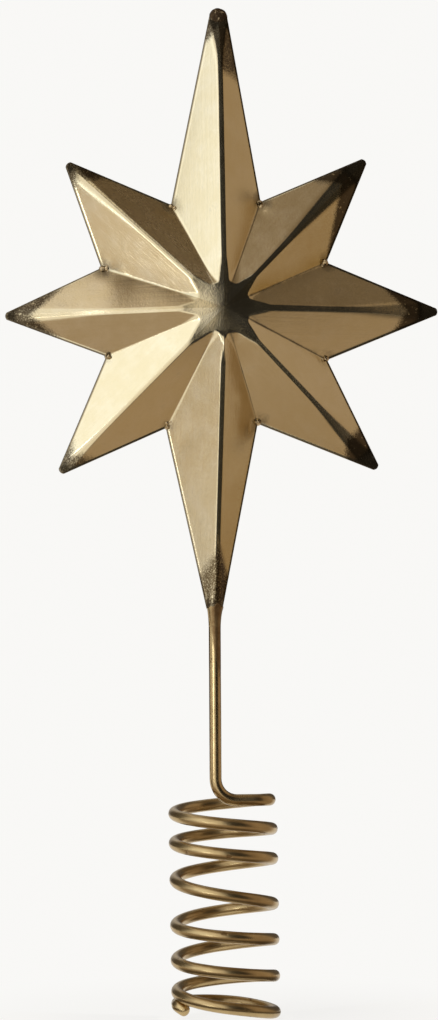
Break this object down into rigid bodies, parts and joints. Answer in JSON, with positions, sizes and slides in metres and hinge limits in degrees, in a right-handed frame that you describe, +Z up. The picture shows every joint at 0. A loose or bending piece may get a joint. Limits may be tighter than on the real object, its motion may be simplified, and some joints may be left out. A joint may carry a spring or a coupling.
{
  "type": "christmas tree topper star",
  "caption": "Faceted pressed brass star with long top and bottom rays, on a wire stem that winds into a coil slipped over the tree's leader",
  "frame": {"origin": "on the coil's axis at its open lower mouth, where the tree's leader goes in", "axes": "+Z up along the coil and the star's long rays, the star faces -Y, +X to the right as seen from the front"},
  "size_m": [0.1288, 0.0362, 0.2999],
  "materials": {
    "brass_sheet": "hand polished, aged brown in the tips and valleys",
    "solder": "rough brass solder, darkened",
    "brass_wire": "drawn wire, aged and nicked"
  },
  "bodies": {
    "coil": {"coil_spring": "brass_wire"},
    "star": {"stem_wire": "brass_wire", "stem_braze": "solder", "star_front_shell": "brass_sheet", "star_back_shell": "brass_sheet", "notch_solder_1": "solder", "notch_solder_2": "solder", "notch_solder_3": "solder", "notch_solder_4": "solder", "notch_solder_5": "solder", "notch_solder_6": "solder", "notch_solder_7": "solder", "notch_solder_8": "solder", "top_tip_solder": "solder"}
  },
  "joints": [
    {"name": "coil_sway", "type": "hinge", "parent": "coil", "child": "star", "pos_m": [0, 0, 0.032], "axis": [0, 1, 0], "range_deg": [-10, 10], "stiffness_Nm_per_rad": 4.7, "deforming": ["coil_spring"]}
  ]
}
